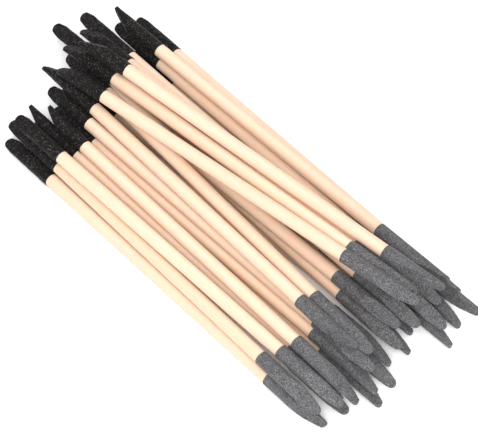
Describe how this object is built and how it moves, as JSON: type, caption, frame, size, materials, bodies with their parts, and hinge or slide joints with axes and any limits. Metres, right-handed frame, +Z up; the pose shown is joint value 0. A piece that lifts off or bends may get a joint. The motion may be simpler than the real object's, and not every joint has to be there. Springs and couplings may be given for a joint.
{
  "type": "blending sticks",
  "caption": "Loose pile of double-ended wooden blending sticks, each with a dark coarse grit tip and a pale fine grit tip, for smudging and sanding small marks.",
  "frame": {"origin": "middle of the pile's footprint, on the table it rests on", "axes": "+X along the pile towards the pale grey tips, +Y across the pile, +Z up"},
  "size_m": [0.1434, 0.0554, 0.0256],
  "materials": {
    "wood": "bare pale birch, sanded",
    "dark_grit": "coarse near-black abrasive grit in glue",
    "pale_grit": "fine grey abrasive grit in glue"
  },
  "bodies": {
    "pile_bottom": {"bottom_dowels": "wood", "bottom_dark_grit": "dark_grit", "bottom_pale_grit": "pale_grit"},
    "stick_13": {"stick_13_dowel": "wood", "stick_13_dark_grit": "dark_grit", "stick_13_pale_grit": "pale_grit"},
    "stick_14": {"stick_14_dowel": "wood", "stick_14_dark_grit": "dark_grit", "stick_14_pale_grit": "pale_grit"},
    "stick_15": {"stick_15_dowel": "wood", "stick_15_dark_grit": "dark_grit", "stick_15_pale_grit": "pale_grit"},
    "stick_16": {"stick_16_dowel": "wood", "stick_16_dark_grit": "dark_grit", "stick_16_pale_grit": "pale_grit"},
    "stick_17": {"stick_17_dowel": "wood", "stick_17_dark_grit": "dark_grit", "stick_17_pale_grit": "pale_grit"},
    "stick_18": {"stick_18_dowel": "wood", "stick_18_dark_grit": "dark_grit", "stick_18_pale_grit": "pale_grit"},
    "stick_19": {"stick_19_dowel": "wood", "stick_19_dark_grit": "dark_grit", "stick_19_pale_grit": "pale_grit"},
    "stick_20": {"stick_20_dowel": "wood", "stick_20_dark_grit": "dark_grit", "stick_20_pale_grit": "pale_grit"},
    "stick_21": {"stick_21_dowel": "wood", "stick_21_dark_grit": "dark_grit", "stick_21_pale_grit": "pale_grit"},
    "stick_22": {"stick_22_dowel": "wood", "stick_22_dark_grit": "dark_grit", "stick_22_pale_grit": "pale_grit"},
    "stick_23": {"stick_23_dowel": "wood", "stick_23_dark_grit": "dark_grit", "stick_23_pale_grit": "pale_grit"},
    "stick_24": {"stick_24_dowel": "wood", "stick_24_dark_grit": "dark_grit", "stick_24_pale_grit": "pale_grit"},
    "stick_25": {"stick_25_dowel": "wood", "stick_25_dark_grit": "dark_grit", "stick_25_pale_grit": "pale_grit"},
    "stick_26": {"stick_26_dowel": "wood", "stick_26_dark_grit": "dark_grit", "stick_26_pale_grit": "pale_grit"},
    "stick_27": {"stick_27_dowel": "wood", "stick_27_dark_grit": "dark_grit", "stick_27_pale_grit": "pale_grit"},
    "stick_28": {"stick_28_dowel": "wood", "stick_28_dark_grit": "dark_grit", "stick_28_pale_grit": "pale_grit"},
    "stick_29": {"stick_29_dowel": "wood", "stick_29_dark_grit": "dark_grit", "stick_29_pale_grit": "pale_grit"},
    "stick_30": {"stick_30_dowel": "wood", "stick_30_dark_grit": "dark_grit", "stick_30_pale_grit": "pale_grit"},
    "stick_31": {"stick_31_dowel": "wood", "stick_31_dark_grit": "dark_grit", "stick_31_pale_grit": "pale_grit"}
  },
  "joints": [
    {"name": "stick_13_draw", "type": "slide", "parent": "pile_bottom", "child": "stick_13", "axis": [0.9996, -0.0292, 0], "range_m": [0, 0.12]},
    {"name": "stick_14_draw", "type": "slide", "parent": "pile_bottom", "child": "stick_14", "axis": [-0.9999, 0.0167, 0.0012], "range_m": [0, 0.12]},
    {"name": "stick_15_draw", "type": "slide", "parent": "pile_bottom", "child": "stick_15", "axis": [-0.9999, 0.0083, 0.0149], "range_m": [0, 0.12]},
    {"name": "stick_16_draw", "type": "slide", "parent": "pile_bottom", "child": "stick_16", "axis": [0.9987, -0.05, 0.0098], "range_m": [0, 0.12]},
    {"name": "stick_17_draw", "type": "slide", "parent": "pile_bottom", "child": "stick_17", "axis": [-0.9998, 0.0208, 0.0019], "range_m": [0, 0.12]},
    {"name": "stick_18_draw", "type": "slide", "parent": "pile_bottom", "child": "stick_18", "axis": [1, -0.0083, 0.0003], "range_m": [0, 0.12]},
    {"name": "stick_19_draw", "type": "slide", "parent": "pile_bottom", "child": "stick_19", "axis": [-0.9999, 0.0125, -0.0016], "range_m": [0, 0.12]},
    {"name": "stick_20_draw", "type": "slide", "parent": "pile_bottom", "child": "stick_20", "axis": [0.9995, -0.0292, -0.0077], "range_m": [0, 0.12]},
    {"name": "stick_21_draw", "type": "slide", "parent": "pile_bottom", "child": "stick_21", "axis": [0.9999, 0.0125, 0.0041], "range_m": [0, 0.12]},
    {"name": "stick_22_draw", "type": "slide", "parent": "pile_bottom", "child": "stick_22", "axis": [0.9993, -0.0333, 0.0186], "range_m": [0, 0.12]},
    {"name": "stick_23_draw", "type": "slide", "parent": "pile_bottom", "child": "stick_23", "axis": [-0.9994, 0, -0.0358], "range_m": [0, 0.12]},
    {"name": "stick_24_draw", "type": "slide", "parent": "pile_bottom", "child": "stick_24", "axis": [0.9972, -0.075, 0.002], "range_m": [0, 0.12]},
    {"name": "stick_25_draw", "type": "slide", "parent": "pile_bottom", "child": "stick_25", "axis": [0.9978, 0.0541, 0.0388], "range_m": [0, 0.12]},
    {"name": "stick_26_draw", "type": "slide", "parent": "pile_bottom", "child": "stick_26", "axis": [-0.9998, 0.0083, 0.0168], "range_m": [0, 0.12]},
    {"name": "stick_27_draw", "type": "slide", "parent": "pile_bottom", "child": "stick_27", "axis": [0.9991, -0.0417, 0.0061], "range_m": [0, 0.12]},
    {"name": "stick_28_draw", "type": "slide", "parent": "pile_bottom", "child": "stick_28", "axis": [-0.9981, 0.0583, -0.0213], "range_m": [0, 0.12]},
    {"name": "stick_29_draw", "type": "slide", "parent": "pile_bottom", "child": "stick_29", "axis": [-0.9997, -0.0167, 0.0158], "range_m": [0, 0.12]},
    {"name": "stick_30_draw", "type": "slide", "parent": "pile_bottom", "child": "stick_30", "axis": [0.9948, 0.079, 0.0649], "range_m": [0, 0.12]},
    {"name": "stick_31_draw", "type": "slide", "parent": "pile_bottom", "child": "stick_31", "axis": [0.9965, 0.0833, 0.0051], "range_m": [0, 0.12]}
  ]
}
